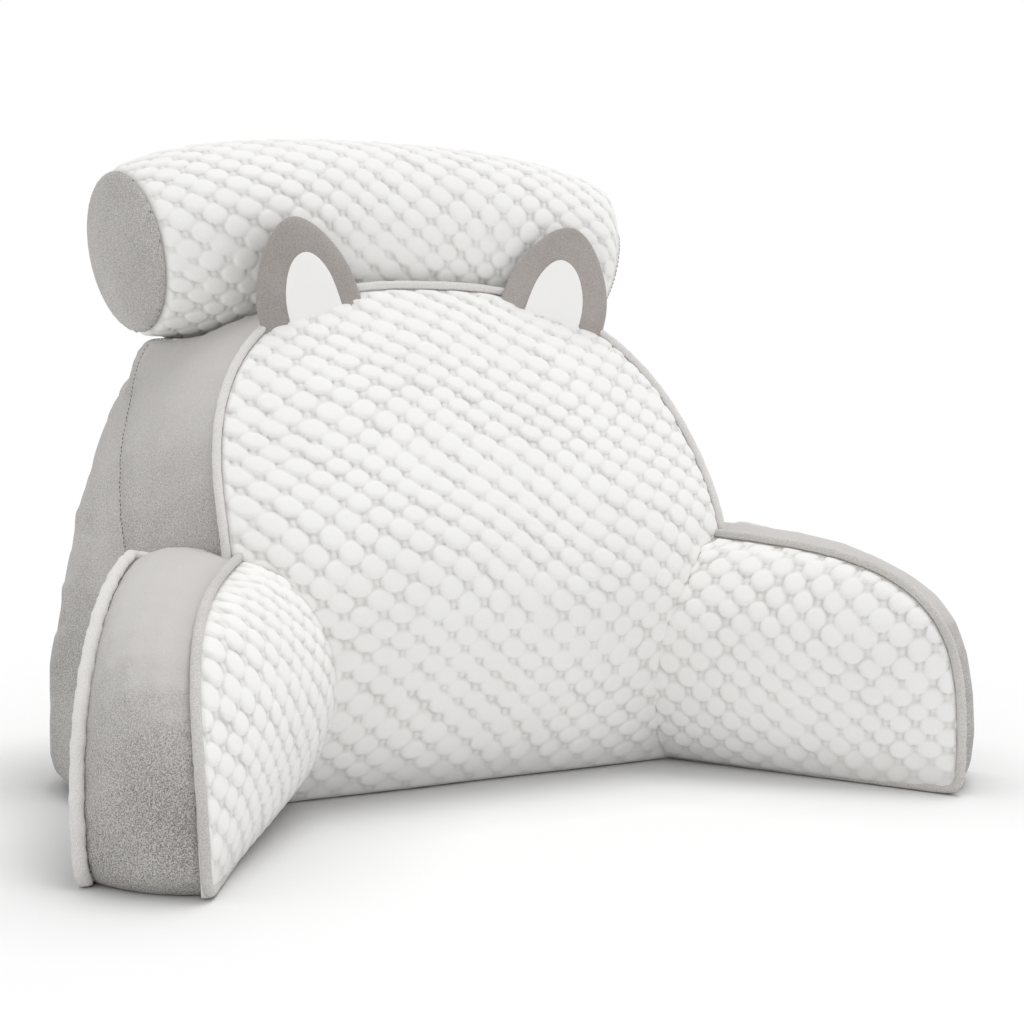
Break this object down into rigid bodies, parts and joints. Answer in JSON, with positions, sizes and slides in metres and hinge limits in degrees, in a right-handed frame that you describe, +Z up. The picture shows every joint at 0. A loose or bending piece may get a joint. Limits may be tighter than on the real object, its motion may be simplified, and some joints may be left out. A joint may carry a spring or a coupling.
{
  "type": "reading pillow with arms",
  "caption": "Leaning reading pillow with a domed quilted front, splayed padded arms, a pair of ears and a neck roll.",
  "frame": {"origin": "middle of the floor area the pillow covers, at floor level", "axes": "+Z up, the quilted front faces -Y, +X along the width, X = 0 is the plane of symmetry of all but the roll"},
  "size_m": [0.8448, 0.5766, 0.6057],
  "materials": {
    "quilted_plush": "soft, quilted into raised bubbles",
    "grey_plush": "soft short pile",
    "piping_plush": "soft covered cord",
    "ear_plush": "soft short pile",
    "ear_satin": "smooth, slightly glossy"
  },
  "bodies": {
    "root": {"arm_left": "grey_plush", "arm_left_inner_panel": "quilted_plush", "arm_left_inner_piping": "piping_plush", "arm_left_outer_panel": "grey_plush", "arm_left_outer_piping": "piping_plush", "arm_right": "grey_plush", "arm_right_inner_panel": "quilted_plush", "arm_right_inner_piping": "piping_plush", "arm_right_outer_panel": "grey_plush", "arm_right_outer_piping": "piping_plush", "back_panel": "grey_plush", "backrest": "grey_plush", "ear_left": "ear_plush", "ear_left_inner": "ear_satin", "ear_right": "ear_plush", "ear_right_inner": "ear_satin", "front_panel": "quilted_plush", "front_piping": "piping_plush", "neck_roll": "quilted_plush", "neck_roll_cap_left": "grey_plush", "neck_roll_cap_right": "grey_plush"}
  },
  "joints": []
}
